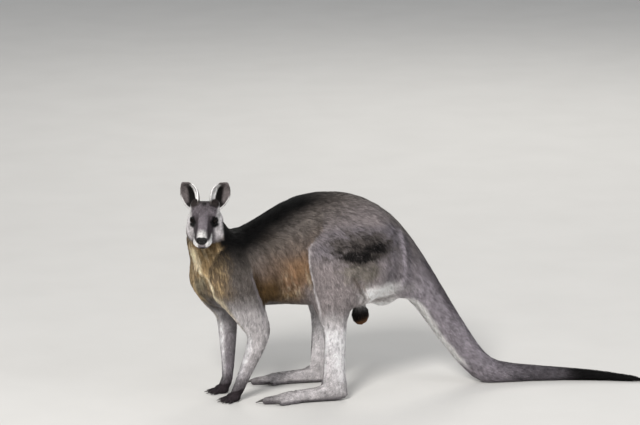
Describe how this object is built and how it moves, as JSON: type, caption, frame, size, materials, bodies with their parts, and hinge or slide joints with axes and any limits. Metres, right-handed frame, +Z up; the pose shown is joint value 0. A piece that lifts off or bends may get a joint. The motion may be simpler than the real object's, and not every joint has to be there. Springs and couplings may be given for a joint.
{
  "type": "kangaroo",
  "caption": "Life-size still model of an adult male eastern grey kangaroo on hands and feet, its tail on the ground, its head turned to one side.",
  "frame": {"origin": "on the floor, below the middle of the bounding box", "axes": "+Z up; the animal faces -X and its tail runs back along +X; its left side is at -Y"},
  "size_m": [1.8024, 0.4064, 0.8489],
  "materials": {
    "chest_fur": "longer fur, matt",
    "claw": "satin horn",
    "dark_fur": "black fur, matt",
    "ear": "thin furred skin, matt",
    "eye": "wet gloss",
    "grey_fur": "short dense fur, matt",
    "hand": "very short dark fur, matt",
    "nose": "damp, finely pebbled",
    "scrotum": "thinly furred skin",
    "silver_fur": "short pale fur, matt"
  },
  "bodies": {
    "root": {"arm_left_fore": "grey_fur", "arm_left_upper": "grey_fur", "arm_right_fore": "grey_fur", "arm_right_upper": "grey_fur", "belly": "grey_fur", "chest": "chest_fur", "claw_foot_left_2": "claw", "claw_foot_left_3": "claw", "claw_foot_left_4": "claw", "claw_foot_left_5": "claw", "claw_foot_right_2": "claw", "claw_foot_right_3": "claw", "claw_foot_right_4": "claw", "claw_foot_right_5": "claw", "claw_hand_left_1": "claw", "claw_hand_left_2": "claw", "claw_hand_left_3": "claw", "claw_hand_left_4": "claw", "claw_hand_left_5": "claw", "claw_hand_right_1": "claw", "claw_hand_right_2": "claw", "claw_hand_right_3": "claw", "claw_hand_right_4": "claw", "claw_hand_right_5": "claw", "ear_left": "ear", "ear_right": "ear", "eye_left": "eye", "eye_right": "eye", "foot_left": "silver_fur", "foot_right": "silver_fur", "hand_left": "hand", "hand_right": "hand", "head": "grey_fur", "leg_left_shank": "silver_fur", "leg_left_thigh": "grey_fur", "leg_right_shank": "silver_fur", "leg_right_thigh": "grey_fur", "neck": "chest_fur", "nose": "nose", "rump": "grey_fur", "scrotum": "scrotum", "tail_ground": "grey_fur", "tail_middle": "grey_fur", "tail_root": "grey_fur", "tail_tip": "dark_fur"}
  },
  "joints": []
}
